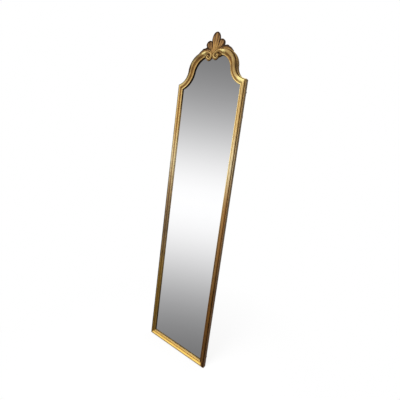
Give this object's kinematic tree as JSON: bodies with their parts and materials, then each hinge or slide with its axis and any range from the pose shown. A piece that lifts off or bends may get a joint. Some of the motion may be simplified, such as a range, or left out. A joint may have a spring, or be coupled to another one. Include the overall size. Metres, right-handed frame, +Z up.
{
  "type": "pier mirror",
  "caption": "Tall gilt pier mirror with a moulded frame, coved shoulders and a two-part arched top that curls into scrolls under a carved shell crest, with hangers behind.",
  "frame": {"origin": "bottom centre of the whole mirror: the middle of its width and of its depth, at the floor edge of the bottom rail", "axes": "+Z up the mirror's height, +X to the right as one looks at the glass, +Y from the glass to the wall behind"},
  "size_m": [0.45, 0.0406, 1.921],
  "materials": {
    "gilt_wood": "worn gold leaf over red-brown clay, satin",
    "gilt_carving": "worn gold leaf with a dark brown glaze in the carving",
    "bare_wood": "bare",
    "backboard_wood": "thin board, bare",
    "silvered_glass": "polished, silvered behind",
    "dark_felt": "pressed felt",
    "screw_brass": "aged",
    "hanger_brass": "aged",
    "bumper_rubber": "matt"
  },
  "bodies": {
    "mirror": {"bottom_rail": "gilt_wood", "left_stile": "gilt_wood", "right_stile": "gilt_wood", "left_cove": "gilt_wood", "right_cove": "gilt_wood", "left_arch": "gilt_wood", "right_arch": "gilt_wood", "crown_block": "gilt_wood", "left_scroll": "gilt_wood", "right_scroll": "gilt_wood", "crest_shell": "gilt_carving", "left_crest_leaf": "gilt_carving", "right_crest_leaf": "gilt_carving", "corner_keys": "bare_wood", "shoulder_dowels": "bare_wood", "waist_dowels": "bare_wood", "crown_dowels": "bare_wood", "crest_dowels": "bare_wood", "mirror_glass": "silvered_glass", "glass_packers": "bare_wood", "backing_sheet": "dark_felt", "backboard": "backboard_wood", "backboard_screws": "screw_brass", "left_hanger_strap": "hanger_brass", "right_hanger_strap": "hanger_brass", "hanger_screws": "screw_brass", "wall_bumpers": "bumper_rubber"},
    "left_ring": {"left_hanger_ring": "hanger_brass"},
    "right_ring": {"right_hanger_ring": "hanger_brass"}
  },
  "joints": [
    {"name": "left_ring_hinge", "type": "hinge", "parent": "mirror", "child": "left_ring", "pos_m": [-0.216, 0.01651, 1.48], "axis": [1, 0, 0], "range_deg": [0, 180]},
    {"name": "right_ring_hinge", "type": "hinge", "parent": "mirror", "child": "right_ring", "pos_m": [0.216, 0.01651, 1.48], "axis": [1, 0, 0], "range_deg": [0, 180]}
  ]
}
